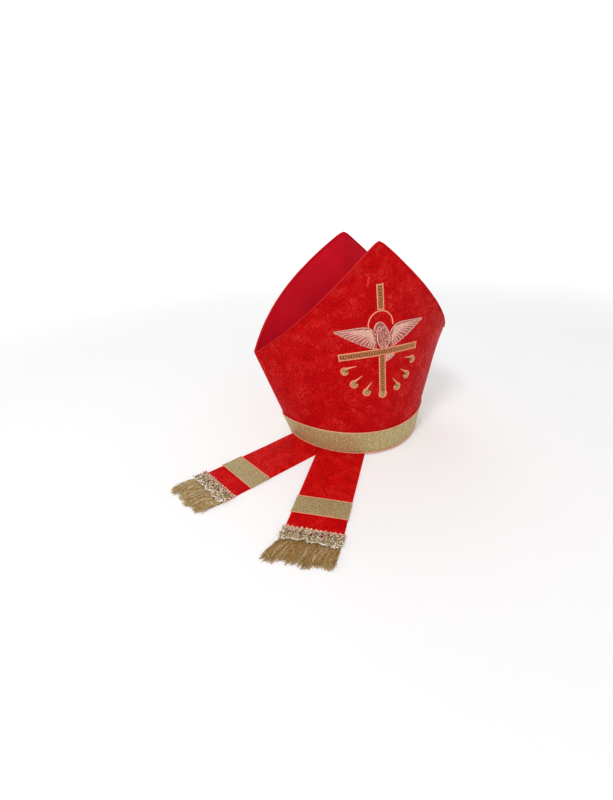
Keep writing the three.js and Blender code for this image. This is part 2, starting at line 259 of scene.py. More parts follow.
def damask(name, ground, figure, outline):
    material, n, shader = surface(name, specular=0.03)
    cloth = cloth_coordinates(n)
    flowers = use(n, "damask_flowers", {"Cloth": cloth})
    weave = use(n, "cloth_weave", {"Cloth": cloth, "Threads": 1400.0})
    patch = n.add("TexNoise", {"Vector": cloth, "Scale": 40.0, "Detail": 5.0, "Roughness": 0.65})
    fuzz = n.add("TexNoise", {"Vector": cloth, "Scale": 620.0, "Detail": 3.0, "Roughness": 0.7})
    colour = n.mix(flowers["Figure"], ground, figure)
    # A darker red, used both for random fine mottling and for painted shade along the figure outlines.
    dark = tuple(0.45 * c for c in ground[:3]) + (1,)
    colour = n.mix(n.math("MULTIPLY", n.step(fuzz.outputs[0], 0.5, 0.66), 0.55), colour, dark)
    # Painted highlight: the lighter outline colour is laid along the figure edges where the patch noise is
    # high.
    outline_highlight_mask = n.math("MULTIPLY", flowers["Outline"], n.step(patch.outputs[0], 0.44, 0.66))
    colour = n.mix(outline_highlight_mask, colour, outline)
    # Painted shade: the figure edges are darkened where the patch noise is low.
    outline_shade_mask = n.math("MULTIPLY", flowers["Outline"], n.step(patch.outputs[0], 0.52, 0.36))
    colour = n.mix(n.math("MULTIPLY", outline_shade_mask, 0.7), colour, dark)
    n.tree.links.new(colour, shader.inputs["Base Color"])
    rough = n.math("MULTIPLY_ADD", flowers["Figure"], -0.2, 0.6)
    n.tree.links.new(rough, shader.inputs["Roughness"])
    height = n.math("ADD", flowers["Figure"], n.math("MULTIPLY", weave["Height"], 0.12))
    height = n.math("ADD", height, n.math("MULTIPLY", fuzz.outputs[0], 0.9))
    bump(n, shader, height, 0.6 * MM, 1.0)
    return material


def satin_lining(name, colour):
    material, n, shader = surface(name, specular=0.04)
    cloth = cloth_coordinates(n)
    weave = use(n, "cloth_weave", {"Cloth": cloth, "Threads": 2200.0})
    patch = n.add("TexNoise", {"Vector": cloth, "Scale": 26.0, "Detail": 4.0})
    shade = n.mix(n.step(patch.outputs[0], 0.3, 0.75), colour, tuple(0.82 * c for c in colour[:3]) + (1,))
    n.tree.links.new(shade, shader.inputs["Base Color"])
    n.tree.links.new(n.math("MULTIPLY_ADD", patch.outputs[0], 0.15, 0.52), shader.inputs["Roughness"])
    bump(n, shader, weave["Height"], 0.08 * MM, 0.5)
    return material


def lurex(name, base, dark, bright, ribs=900.0, grain=1900.0, metallic=0.3, depth=0.3):
    material, n, shader = surface(name, roughness=0.42, metallic=metallic, specular=0.5)
    thread = use(n, "metal_thread", {"Cloth": cloth_coordinates(n), "Ribs": ribs, "Grain": grain})
    colour = n.mix(thread["Shade"], dark, base)
    # Painted glints: flecks of the bright colour stand for light glinting off the metal.
    colour = n.mix(thread["Painted Glint"], colour, bright)
    n.tree.links.new(colour, shader.inputs["Base Color"])
    n.tree.links.new(n.math("MULTIPLY_ADD", thread["Shade"], 0.3, 0.28), shader.inputs["Roughness"])
    bump(n, shader, thread["Height"], depth * MM, 0.9)
    return material


def thread_satin(name, base, dark, metallic=0.25):
    """Stitching: its own coordinates run across the threads."""
    material, n, shader = surface(name, roughness=0.4, metallic=metallic)
    place = n.add("NewGeometry").outputs["Position"]
    fleck = n.add("TexNoise", {"Vector": place, "Scale": 900.0, "Detail": 2.0})
    slow = n.add("TexNoise", {"Vector": place, "Scale": 120.0})
    colour = n.mix(n.step(fleck.outputs[0], 0.35, 0.65), dark, base)
    colour = n.mix(n.math("MULTIPLY", slow.outputs[0], 0.25), colour, dark)
    n.tree.links.new(colour, shader.inputs["Base Color"])
    n.tree.links.new(n.math("MULTIPLY_ADD", fleck.outputs[0], 0.3, 0.25), shader.inputs["Roughness"])
    bump(n, shader, fleck.outputs[0], 0.15 * MM, 0.6)
    return material


def bead(name, base, dark, metallic, roughness):
    material, n, shader = surface(name, roughness=roughness, metallic=metallic, specular=0.7)
    place = n.add("NewGeometry").outputs["Position"]
    tone = n.add("TexVoronoi", {"Vector": place, "Scale": 420.0}).outputs["Color"]
    share = n.add("SeparateXYZ", {0: tone}).outputs[0]
    n.tree.links.new(n.mix(share, dark, base), shader.inputs["Base Color"])
    n.tree.links.new(n.math("MULTIPLY_ADD", share, 0.2, roughness), shader.inputs["Roughness"])
    return material


# One damask in two copies: the panels' copy is painted darker, as painted shade on the upright faces, and
# the lappets' copy lighter, as painted light on the flat ones. The last colour of each is the painted
# highlight along the figure outlines.
PANEL_DAMASK_SHADED = damask("panel_damask_shaded", srgb(182, 4, 8), srgb(196, 9, 13), srgb(226, 66, 58))
LAPPET_DAMASK_LIT = damask("lappet_damask_lit", srgb(210, 6, 10), srgb(228, 12, 14), srgb(244, 62, 48))
# The damask where it folds over the edge is given a lighter red: a painted highlight where the fold
# catches the light.
FOLDED_EDGE_HIGHLIGHT = satin_lining("folded_edge", srgb(204, 30, 34))
LINING = satin_lining("crimson_lining", srgb(192, 12, 32))
# The last colour of each lurex is its painted glint.
GALLOON = lurex("gold_galloon", srgb(200, 178, 118), srgb(140, 118, 62), srgb(255, 246, 214))
SELVEDGE = thread_satin("salmon_selvedge", srgb(250, 190, 152), srgb(222, 140, 102))
GOLD_THREAD = thread_satin("gold_thread", srgb(252, 178, 134), srgb(224, 128, 86), 0.1)
DARK_THREAD = thread_satin("brown_thread", srgb(122, 30, 12), srgb(84, 10, 4), 0.0)
KHAKI_THREAD = thread_satin("khaki_thread", srgb(212, 168, 104), srgb(150, 100, 52), 0.1)
OLD_GOLD_THREAD = thread_satin("old_gold_thread", srgb(226, 158, 84), srgb(176, 104, 46), 0.1)
SILVER_THREAD = thread_satin("silver_thread", srgb(240, 200, 182), srgb(198, 134, 120), 0.1)
ROSE_THREAD = thread_satin("rose_thread", srgb(186, 104, 92), srgb(142, 46, 42), 0.1)
FRINGE_THREAD = thread_satin("antique_fringe", srgb(206, 166, 96), srgb(132, 92, 44), 0.2)
FRINGE_BRIGHT = thread_satin("pale_fringe", srgb(232, 218, 176), srgb(178, 154, 102), 0.3)
SILVER_BEAD = bead("silver_beads", srgb(255, 250, 236), srgb(190, 176, 150), 0.6, 0.14)
GOLD_BEAD = bead("gold_beads", srgb(232, 206, 150), srgb(150, 122, 76), 0.6, 0.18)
PINK_BEAD = bead("pink_beads", srgb(252, 214, 200), srgb(226, 150, 138), 0.1, 0.2)
LACE_CLOTH = lurex("champagne_lace", srgb(206, 188, 146), srgb(140, 112, 74), srgb(255, 250, 232),
                   grain=1100.0, depth=0.6)
STONE = bead("dark_red_stones", srgb(150, 10, 30), srgb(70, 0, 12), 0.0, 0.05)


# ---- mesh helpers -----------------------------------------------------------
class Build:
    """Collects points, faces and cloth coordinates, then makes one object."""

    def __init__(self):
        self.points = []
        self.faces = []
        self.cloth = []
        self.slots = []

    def grid(self, rows, flip=False, closed=False, slot=0):
        """rows: lists of (point, (u, v)).  closed joins the last row to the first."""
        start = len(self.points)
        width = len(rows[0])
        for row in rows:
            for point, uv in row:
                self.points.append(point)
                self.cloth.append(uv)
        count = len(rows)
        for i in range(count if closed else count - 1):
            a = start + i * width
            b = start + ((i + 1) % count) * width
            for j in range(width - 1):
                face = (a + j, b + j, b + j + 1, a + j + 1)
                self.faces.append(face[::-1] if flip else face)
                self.slots.append(slot)
        return self

    def face(self, corners, slot=0):
        """One flat face; corners as in a row of a grid."""
        start = len(self.points)
        self.points += [point for point, _ in corners]
        self.cloth += [uv for _, uv in corners]
        self.faces.append(tuple(range(start, start + len(corners))))
        self.slots.append(slot)

    def tube(self, path, radius, sides=6, slot=0):
        """A closed-ended tube; radius is a number or one for each point."""
        start = len(self.points)
        last = len(path) - 1
        for i, point in enumerate(path):
            run = (path[min(i + 1, last)] - path[max(i - 1, 0)]).normalized()
            side = run.cross(Vector((0.13, 0.31, 0.94))).normalized()
            up = side.cross(run)
            r = radius[i] if hasattr(radius, "__len__") else radius
            for k in range(sides):
                a = 2 * math.pi * k / sides
                self.points.append(point + r * (math.cos(a) * side + math.sin(a) * up))
                self.cloth.append((k / sides * 2 * math.pi * r, i * MM))
        for i in range(last):
            for k in range(sides):
                a, b = start + i * sides, start + (i + 1) * sides
                nxt = (k + 1) % sides
                self.faces.append((a + k, b + k, b + nxt, a + nxt))
                self.slots.append(slot)
        self.faces.append(tuple(start + k for k in range(sides)))
        self.faces.append(tuple(start + last * sides + k for k in reversed(range(sides))))
        self.slots += [slot, slot]
        return self

    def ball(self, centre, radius, squash=1.0, rings=5, sides=8, slot=0):
        start = len(self.points)
        for i in range(1, rings):
            polar = math.pi * i / rings
            for k in range(sides):
                a = 2 * math.pi * k / sides
                spot = Vector((math.sin(polar) * math.cos(a), math.sin(polar) * math.sin(a),
                               squash * math.cos(polar)))
                self.points.append(centre + radius * spot)
        top = len(self.points)
        self.points += [centre + Vector((0, 0, radius * squash)),
                        centre - Vector((0, 0, radius * squash))]
        self.cloth += [(0, 0)] * (len(self.points) - start)
        for i in range(rings - 2):
            for k in range(sides):
                a, b = start + i * sides, start + (i + 1) * sides
                nxt = (k + 1) % sides
                self.faces.append((a + k, b + k, b + nxt, a + nxt))
        end = start + (rings - 2) * sides
        for k in range(sides):
            nxt = (k + 1) % sides
            self.faces.append((top, start + k, start + nxt))
            self.faces.append((top + 1, end + nxt, end + k))
        self.slots += [slot] * (len(self.faces) - len(self.slots))
        return self

    def make(self, name, materials, smooth=True, weld=0.0):
        mesh = bpy.data.meshes.new(name)
        mesh.from_pydata([tuple(p) for p in self.points], [], self.faces)
        layer = mesh.uv_layers.new(name="cloth")
        for loop in mesh.loops:
            layer.data[loop.index].uv = self.cloth[loop.vertex_index]
        for material in materials:
            mesh.materials.append(material)
        for polygon, slot in zip(mesh.polygons, self.slots):
            polygon.material_index = slot
            polygon.use_smooth = smooth
        piece = bpy.data.objects.new(name, mesh)
        bpy.context.collection.objects.link(piece)
        if weld:
            shell = bmesh.new()
            shell.from_mesh(mesh)
            bmesh.ops.remove_doubles(shell, verts=shell.verts, dist=weld)
            bmesh.ops.recalc_face_normals(shell, faces=shell.faces)
            shell.to_mesh(mesh)
            shell.free()
        return piece


def place(piece, slot, *nodes):
    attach(piece, "root")
    if nodes:
        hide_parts(*nodes)
    return piece


def lerp(a, b, t):
    return a + (b - a) * t


def steps(start, end, count):
    return [start + (end - start) * i / count for i in range(count + 1)]


def wander(seed, x, y):
    """A slow, repeatable wave from -1 to 1."""
    return (math.sin(seed + 1.7 * x + 0.9 * y) + math.sin(2.3 * seed + 0.8 * x - 1.9 * y)
            + math.sin(0.7 * seed - 1.3 * x + 2.6 * y)) / 3


# ---- the form of the mitre --------------------------------------------------
def half_width(z):
    return BASE["half"] + (CORNER["half"] - BASE["half"]) * z / CORNER["z"]


def half_depth(panel, z):
    """The parabola through the rim, the corners and the peak."""
    zc, zp = CORNER["z"], PEAK
    base = BASE["depth"] * (z - zc) * (z - zp) / (zc * zp)
    corner = CORNER["depth"] * z * (z - zp) / (zc * (zc - zp))
    return base + corner + panel["peak"] * z * (z - zc) / (zp * (zp - zc))


def edge_half_width(panel, z):
    t = (z - CORNER["z"]) / (PEAK - CORNER["z"])
    sharp = CORNER["half"] * (1 - t) * (1 + panel["swell"] * t)
    return math.sqrt(max((sharp + BLUNT) ** 2 - BLUNT ** 2, 0))


def edge_height(panel, share):
    bottom, top = CORNER["z"], PEAK + BLUNT
    for _ in range(36):
        z = (bottom + top) / 2
        if edge_half_width(panel, z) > abs(share) * half_width(z):
            bottom = z
        else:
            top = z
    return bottom


def panel_point(panel, share, z, out=0.0):
    """share of the half width, height above the rim, distance out of the face."""
    rise = min(z / CORNER["z"], 1)
    power = lerp(BASE["round"], CORNER["round"], rise)
    bow = (half_depth(panel, z) + out) * max(1 - share * share, 0) ** power
    x = share * (half_width(z) + lerp(1, 1.3, rise) * out)
    return Vector((x, panel["side"] * (0.15 * MM + bow), RIM_Z + z))


def arc_at(panel, share, z, parts=24):
    """length along the cloth from the middle line"""
    line = [panel_point(panel, share * i / parts, z) for i in range(parts + 1)]
    return math.copysign(sum((b - a).length for a, b in zip(line, line[1:])), share)


SHARES = [math.sin(math.radians(a)) for a in steps(-90, 90, 120)]
PANEL_ROWS = 70


def panel_skin(panel, name):
    """Damask outside, rolled over the slanted edge, with plain lining inside. The roll is painted a
    lighter red, as a painted highlight.
    """
    build = Build()
    outside, inside, roll = [], [], []
    for share in SHARES:
        top = edge_height(panel, share)
        column = []
        for z in steps(0, top, PANEL_ROWS):
            u = arc_at(panel, share, z)
            free = min(z / (40 * MM), 1) * min((1 - abs(share)) / 0.15, 1)
            swell = 0.55 * MM * free * wander(3, u / (24 * MM), z / (30 * MM))
            column.append((panel_point(panel, share, z, swell), (u, z)))
        outside.append(column)
        depth = [panel_point(panel, share, z, -WALL) for z in steps(0, top, PANEL_ROWS)]
        inside.append([(p, (c[1][0], c[1][1])) for p, c in zip(depth, column)])
        first, last = column[-1][0], depth[-1]
        bulge = 0.35 * MM * (1 + 0.4 * wander(5, share * 30, 0))
        arch = []
        for t in steps(0, 1, 6):
            lift = math.sin(math.pi * t)
            point = first.lerp(last, t) + Vector((0, 0, bulge * lift))
            arch.append((point, (column[-1][1][0], top + t * WALL)))
        roll.append(arch)
    flip = panel["side"] > 0
    build.grid(outside, flip=flip)
    build.grid(inside, flip=not flip, slot=1)
    build.grid(roll, flip=flip, slot=2)
    for arch in (roll[0], roll[-1]):
        build.face(arch, slot=2)
    rim = [[outside[i][0], inside[i][0]] for i in range(len(SHARES))]
    build.grid(rim, flip=not flip, slot=1)
    for i, seam_flip in ((0, flip), (len(SHARES) - 1, not flip)):
        seam = [[a, b] for a, b in zip(outside[i], inside[i])]
        build.grid(seam, flip=seam_flip)
    return build.make(name, [PANEL_DAMASK_SHADED, LINING, FOLDED_EDGE_HIGHLIGHT], weld=0.02 * MM)


def edge_piping(panel, name):
    """The narrow rolled fold of damask along the slanted edge, painted a lighter red as a painted
    highlight.
    """
    path = []
    for share in [s for s in SHARES if abs(s) < 0.992]:
        z = edge_height(panel, share)
        path.append(panel_point(panel, share, z - 0.7 * MM, 0.25 * MM))
    radius = [0.75 * MM * (1 + 0.18 * wander(9, i * 0.8, 0)) for i in range(len(path))]
    return Build().tube(path, radius, 8).make(name, [FOLDED_EDGE_HIGHLIGHT])


LINING_REACH = 0.972 * CORNER["half"]


def crown_lining():
    clear = WALL + 0.6 * MM

    def edge(panel, x):
        share = x / CORNER["half"]
        for _ in range(12):
            z = edge_height(panel, share) - 2 * MM
            share = x / (half_width(z) - clear)
        return panel_point(panel, share, edge_height(panel, share) - 2 * MM, -clear)

    rows = []
    for x in steps(-LINING_REACH, LINING_REACH, 90):
        sag = 22 * MM * (1 - (x / LINING_REACH) ** 2)
        fold = Vector((x, 0, RIM_Z + CORNER["z"] - sag))
        row = []
        for t in steps(-1, 1, 56):
            top = edge(FRONT if t < 0 else BACK, x)
            share = abs(t) ** 1.3
            rise = (math.hypot(share, 0.12) - 0.12) / (math.hypot(1, 0.12) - 0.12)
            point = Vector((x, top.y * share, lerp(fold.z, top.z, rise)))
            ease = 4 * share * (1 - share) * (1 - (x / LINING_REACH) ** 2)
            point.z -= 1.6 * MM * ease * (1 + wander(2, x / (20 * MM), t * 3))
            row.append((point, (x, 0.14 * t)))
        rows.append(row)
    build = Build()
    build.grid(rows, flip=True)
    piece = build.make("crown_lining_cloth", [LINING])
    solid = piece.modifiers.new("thickness", "SOLIDIFY")
    solid.thickness = 0.7 * MM
    solid.offset = 0
    return piece


# ---- head band --------------------------------------------------------------
def ring(profile, turns=360, twist=None):
    """rows round the band; profile is a list of (height, distance out)."""
    rows = []
    length = 0.0
    before = None
    for i in range(turns):
        a = 2 * math.pi * i / turns
        panel = FRONT if math.cos(a) > 0 else BACK
        share = math.sin(a)
        here = panel_point(panel, share, 0)
        length += (here - before).length if before else 0
        before = here
        row = []
        for k, (z, out) in enumerate(profile):
            if twist:
                z, out = twist(z, out, length, k)
            row.append((panel_point(panel, share, z, out), (length, z)))
        rows.append(row)
    return rows


def headband():
    low_z, high_z = low("headband_galloon").z - RIM_Z, high("headband_galloon").z - RIM_Z
    inner, outer = 0.5 * MM, 1.45 * MM
    face = [(lerp(low_z, high_z, t), outer + 0.12 * MM * math.sin(math.pi * t))
            for t in steps(0, 1, 14)]
    profile = [(low_z, inner)] + face + [(high_z, inner), (low_z, inner)]
    build = Build()
    build.grid(ring(profile), flip=True, closed=True)
    return build.make("headband_galloon_braid", [GALLOON], weld=0.01 * MM)


def braid_edge(name, height):
    """Two strands twisted round each other along the edge of the braid."""
    build = Build()
    radius, pitch, sides = 0.55 * MM, 3.1 * MM, 7
    for strand in (0, math.pi):
        def twist(z, out, length, k, strand=strand):
            turn = 2 * math.pi * length / pitch + strand
            around = 2 * math.pi * k / sides
            z = height + 0.35 * MM * math.cos(turn) + radius * math.cos(around)
            return z, 1.25 * MM + 0.35 * MM * math.sin(turn) + radius * math.sin(around)

        build.grid(ring([(0, 0)] * (sides + 1), 1100, twist), closed=True)
    return build.make(name, [SELVEDGE], weld=0.01 * MM)


# ---- embroidery -------------------------------------------------------------
ARC_TABLE_STEP = 0.01


def on_panel(across, up, lift):
    """A point of the motif, in millimetres from the crossing, above the damask."""
    cos, sin = math.cos(MOTIF["tilt"]), math.sin(MOTIF["tilt"])
    arc = MOTIF["across"] + (across * cos - up * sin) * MM
    z = MOTIF["up"] + (across * sin + up * cos) * MM
    share, length, before = 0.0, 0.0, panel_point(FRONT, 0, z)
    while length < abs(arc):
        here = panel_point(FRONT, share + ARC_TABLE_STEP, z)
        run = (here - before).length
        part = min((abs(arc) - length) / run, 1)
        share += ARC_TABLE_STEP * part
        length += run
        before = here
    share = math.copysign(share, arc)
    free = min(z / (40 * MM), 1) * min((1 - abs(share)) / 0.15, 1)
    swell = 0.55 * MM * free * wander(3, arc / (24 * MM), z / (30 * MM))
    return panel_point(FRONT, share, z, swell + lift * MM)


def line_length(points):
    return sum(math.hypot(b[0] - a[0], b[1] - a[1]) for a, b in zip(points, points[1:]))


def resample(points, pitch):
    """Points along a polyline, about pitch apart."""
    lengths = [0.0]
    for (ax, ay), (bx, by) in zip(points, points[1:]):
        lengths.append(lengths[-1] + math.hypot(bx - ax, by - ay))
    count = max(int(lengths[-1] / pitch), 2)
    out = []
    j = 0
    for want in steps(0, lengths[-1], count):
        while j < len(points) - 2 and lengths[j + 1] < want:
            j += 1
        t = (want - lengths[j]) / max(lengths[j + 1] - lengths[j], 1e-9)
        out.append((lerp(points[j][0], points[j + 1][0], t), lerp(points[j][1], points[j + 1][1], t)))
    return out


def satin(build, left, right, base=0.25, height=0.55, pitch=0.42, slot=0):
    """Satin stitches laid side by side from the left line to the right line."""
    longer = max(len(resample(left, pitch)), len(resample(right, pitch))) - 1
    a = resample(left, 1e-6 + line_length(left) / longer)
    b = resample(right, 1e-6 + line_length(right) / longer)
    count = min(len(a), len(b))
    rows = []
    for i in range(2 * count - 1):
        ridge = i % 2 == 0
        p, q = a[i // 2], b[i // 2]
        if not ridge:
            p = tuple(lerp(s, t, 0.5) for s, t in zip(a[i // 2], a[i // 2 + 1]))
            q = tuple(lerp(s, t, 0.5) for s, t in zip(b[i // 2], b[i // 2 + 1]))
        row = []
        for t in (0, 0.12, 0.35, 0.65, 0.88, 1):
            x, y = lerp(p[0], q[0], t), lerp(p[1], q[1], t)
            crown = math.sqrt(max(1 - (2 * t - 1) ** 2, 0))
            lift = base + height * crown * (1 if ridge else 0.62)
            row.append((on_panel(x, y, lift if 0 < t < 1 else 0.05), (x * MM, y * MM)))
        rows.append(row)
    facing = sum((rows[i + 1][3][0] - rows[i][3][0]).cross(rows[i][4][0] - rows[i][1][0]).y
                 for i in range(len(rows) - 1))
    build.grid(rows, slot=slot, flip=facing > 0)
    return build


def offset(points, distance):
    """The polyline moved sideways."""
    out = []
    for i, (x, y) in enumerate(points):
        ax, ay = points[max(i - 1, 0)]
        bx, by = points[min(i + 1, len(points) - 1)]
        run = math.hypot(bx - ax, by - ay) or 1
        out.append((x - (by - ay) / run * distance, y + (bx - ax) / run * distance))
    return out


def rail(build, points, width, **options):
    return satin(build, offset(points, width / 2), offset(points, -width / 2), **options)


BAR = {"width": 9.2, "rail": 1.45, "pitch": 3.3}


def lattice(build, line):
    """Two satin rails with crossed stitches between them over a dark ground."""
    half = BAR["width"] / 2
    satin(build, offset(line, half - 1), offset(line, 1 - half), height=0.12, pitch=0.8, slot=1)
    inner = half - BAR["rail"] * 0.7
    cells = max(round(line_length(line) / BAR["pitch"]), 1)
    spine = resample(line, line_length(line) / cells * 0.9999)
    for hand in (-1, 1):
        rail(build, offset(line, hand * (half - BAR["rail"] / 2)), BAR["rail"])
        left, right = offset(spine, hand * inner), offset(spine, -hand * inner)
        zigzag = [left[k] if k % 2 else right[k] for k in range(len(spine))]
        for p, q in zip(zigzag, zigzag[1:]):
            rail(build, [p, q], 0.7, base=0.3, height=0.42, pitch=0.5, slot=3)


def end_cap(build, line):
    """A short satin bar across the start of the line."""
    along = resample(line, 0.9)[:2]
    across = [offset(along, BAR["width"] / 2)[1], offset(along, -BAR["width"] / 2)[1]]
    rail(build, across, 1.5)


BAR_THREADS = [GOLD_THREAD, DARK_THREAD, KHAKI_THREAD, OLD_GOLD_THREAD]


def upper_bar(name):
    line = [(0, lerp(85.2, 54.6, t)) for t in steps(0, 1, 12)]
    build = Build()
    lattice(build, line)
    end_cap(build, line)
    end_cap(build, line[::-1])
    return build.make(name, BAR_THREADS)


def crossbar(name):
    """The middle stands a little higher than the ends."""
    reach, rise = 56.3, 3.2
    line = [(x, rise * (1 - (x / reach) ** 2) - 1) for x in steps(-reach, reach, 24)]
    build = Build()
    lattice(build, line)
    end_cap(build, line)
    end_cap(build, line[::-1])
    return build.make(name, BAR_THREADS)


def arc(x, y, radius, start, end, count=24):
    return [(x + radius * math.cos(math.radians(a)), y + radius * math.sin(math.radians(a)))
            for a in steps(start, end, count)]


def lower_bar(name):
    """The shaft ends in a round drop with a dark slit."""
    top, low_end, drop_y = -3.2, -50.6, -54.3
    build = Build()
    lattice(build, [(0, lerp(top, low_end, t)) for t in steps(0, 1, 12)])
    rail(build, arc(0, drop_y, 5, 130, 410, 30), 1.9, base=0.35)
    satin(build, arc(0, drop_y, 4, 90, 270, 12), arc(0, drop_y, 4, 90, -90, 12), height=0.4, slot=2)
    rail(build, [(0, drop_y + 6), (0, drop_y + 1.2)], 1.3, base=0.7, height=0.3, slot=1)
    return build.make(name, BAR_THREADS)


def halo(name):
    build = Build()
    rail(build, arc(-0.5, 37, 16.5, -8, 190, 60), 1.5, pitch=0.5)
    return build.make(name, [GOLD_THREAD])


def curve(points, count=24):
    """A Catmull-Rom curve through a few points."""
    padded = [points[0]] + points + [points[-1]]
    out = []
    for i in range(len(points) - 1):
        a, b, c, d = padded[i:i + 4]
        part = max(count // (len(points) - 1), 2)
        for k in range(part):
            t = k / part
            out.append(tuple(
                0.5 * (2 * q + (r - p) * t + (2 * p - 5 * q + 4 * r - s) * t * t
                       + (3 * q - p - 3 * r + s) * t ** 3)
                for p, q, r, s in zip(a, b, c, d)))
    return out + [points[-1]]


DOVE_LEFT = [(-2.4, 40), (-6.8, 38), (-8.8, 34.2), (-9.4, 31.5), (-6.8, 29.6), (-5.6, 25), (-5.9, 20),
             (-5, 14.5), (-2.2, 9.4), (1.4, 6)]
DOVE_RIGHT = [(-2.4, 40), (1.8, 38.2), (5.2, 34), (7.8, 29.6), (9.8, 25), (11.2, 20), (10.9, 15),
              (8.6, 10.4), (5.6, 7.6), (2.4, 6)]


def dove_body(name):
    build = Build()
    left, right = curve(DOVE_LEFT, 40), curve(DOVE_RIGHT, 40)
    satin(build, left, right, height=1.1, pitch=0.7, slot=1)
    for line in (left, right):
        rail(build, line, 1.5, base=0.7, height=0.5)
    rnd = random.Random(4)
    for _ in range(96):
        y = rnd.uniform(9, 36)
        lo = min(left, key=lambda p: abs(p[1] - y))[0] + 1.6
        hi = min(right, key=lambda p: abs(p[1] - y))[0] - 1.6
        x = rnd.uniform(lo, hi)
        run = rnd.uniform(1.2, 2.4)
        rail(build, [(x, y), (x + 0.5 * run, y - run)], 0.75, base=1.2, height=0.3, pitch=0.6)
    rail(build, [(-9.2, 31.7), (-6.4, 32.6)], 1.2, base=1.2, height=0.4, slot=1)
    return build.make(name, [SILVER_THREAD, ROSE_THREAD])


WING_TOP = [(9.6, 24.5), (12.5, 28.8), (17, 33), (23, 35), (31, 35.4), (42, 34.7), (53, 33.7), (62, 32.8)]
WING_LOW = [(9.2, 8), (14, 8.4), (20, 10.8), (27, 13.8), (36, 18.2), (45, 23), (54, 28.2), (62, 32.4)]
DOVE_MIDDLE = 2.2


def dove_wing(name, hand):
    """Feathers fan from the shoulder along the leading edge over a rose ground."""
    build = Build()

    def put(points):
        return [(DOVE_MIDDLE + hand * x, y) for x, y in points]

    top, bottom = curve(WING_TOP, 42), curve(WING_LOW, 42)
    satin(build, put(top), put(bottom), height=0.25, pitch=0.9, slot=1)
    feathers = 11
    for i in range(feathers):
        t = i / (feathers - 1)
        tip = bottom[int(lerp(6, len(bottom) - 3, t ** 0.9))]
        root = (lerp(10.6, 15, t), lerp(15, 31, t))
        lead = top[int(lerp(8, len(top) - 8, t))]
        half_way = lerp(root[1], tip[1], 0.5)
        bend = (lerp(root[0], tip[0], 0.5), lerp(half_way, lead[1], 0.12 + 0.24 * t))
        spine = curve([root, bend, tip], 16)
        wide = [0.85 * math.sin(math.pi * min(0.25 + 0.6 * k / (len(spine) - 1), 0.82)) + 0.15
                for k in range(len(spine))]
        one = [offset(spine, w)[k] for k, w in enumerate(wide)]
        two = [offset(spine, -w)[k] for k, w in enumerate(wide)]
        satin(build, put(one), put(two), base=0.35 + 0.05 * (i % 2), height=0.5, pitch=0.55)
    coverts = 6
    for i in range(coverts):
        t = i / (coverts - 1)
        a = (lerp(11, 24, t), lerp(22.5, 33.6, t ** 0.7))
        b = (lerp(12.5, 36, t), lerp(14, 31, t))
        rail(build, put(curve([a, (lerp(a[0], b[0], 0.5) + 0.8, lerp(a[1], b[1], 0.5)), b], 8)),
             0.8, base=0.7, height=0.35, pitch=0.6)
    rail(build, put(top), 1.1, base=0.5, height=0.55)
    scallop = []
    for i, (x, y) in enumerate(bottom):
        dip = 0.75 * abs(math.sin(math.pi * i / 4.2))
        scallop.append((x + 0.4 * dip, y - dip))
    rail(build, put(scallop), 0.8, base=0.45, height=0.4)
    return build.make(name, [SILVER_THREAD, ROSE_THREAD])


def dove_tail(name):
    build = Build()
    satin(build, [(5, -2.6), (11, -2.4), (17, -2)], [(5.2, -10.4), (10.6, -9.4), (17.6, -5)],
          height=0.2, pitch=0.9, slot=1)
    for i in range(6):
        t = i / 5
        tip = (lerp(5.9, 18, t), lerp(-11.4, -5, t ** 1.3))
        spine = curve([(lerp(5.8, 13.5, t), -2.6), (lerp(5.9, 16, t), lerp(-7, -3.6, t)), tip], 8)
        rail(build, spine, 1.5, base=0.4, height=0.5, pitch=0.5)
    return build.make(name, [SILVER_THREAD, ROSE_THREAD])


FLAMES = [(49, -18.7, 34, -12.6), (38, -36.8, 26.6, -26), (21.7, -49, 14.6, -35.8)]


def flame(name, row, hand):
    """A salmon outline round a khaki bulb, with a dark notch and a thin tail."""
    x1, y1, x2, y2 = hand * row[0], row[1], hand * row[2], row[3]
    run = math.hypot(x2 - x1, y2 - y1)
    dx, dy = (x2 - x1) / run, (y2 - y1) / run
    tail = math.degrees(math.atan2(dy, dx))
    build = Build()
    satin(build, arc(x1, y1, 4.2, tail + 90, tail + 270, 12), arc(x1, y1, 4.2, tail + 90, tail - 90, 12),
          height=0.6, slot=2, base=0.3)
    rail(build, arc(x1, y1, 4.7, tail + 42 * hand, tail + 345 * hand, 30), 1.5, base=0.35)
    leave = math.radians(tail - 30 * hand)
    sweep = [(x1 + 4.6 * math.cos(leave), y1 + 4.6 * math.sin(leave)), (x2, y2)]
    spine = resample(sweep, 0.8)
    wide = [lerp(1.2, 0.3, k / (len(spine) - 1)) for k in range(len(spine))]
    satin(build, [offset(spine, w)[k] for k, w in enumerate(wide)],
          [offset(spine, -w)[k] for k, w in enumerate(wide)], base=0.35)
    notch = [(x1 + 0.8 * dx, y1 + 0.8 * dy),
             (x1 + 4.8 * dx - 1.1 * dy * hand, y1 + 4.8 * dy + 1.1 * dx * hand)]
    rail(build, notch, 1.8, base=0.8, height=0.3, slot=1)
    return build.make(name, [GOLD_THREAD, DARK_THREAD, KHAKI_THREAD])


# ---- lappets ----------------------------------------------------------------
def on_table(side, s, e, z):
    laid = LAPPETS[side]
    a = math.radians(laid["heading"])
    x = laid["x"] + s * math.sin(a) + e * math.cos(a)
    y = laid["y"] - s * math.cos(a) + e * math.sin(a)
    return Vector((x, y, z))


def to_lappet(side, point):
    laid = LAPPETS[side]
    a = math.radians(laid["heading"])
    dx, dy = point.x - laid["x"], point.y - laid["y"]
    return dx * math.sin(a) - dy * math.cos(a), dx * math.cos(a) + dy * math.sin(a)


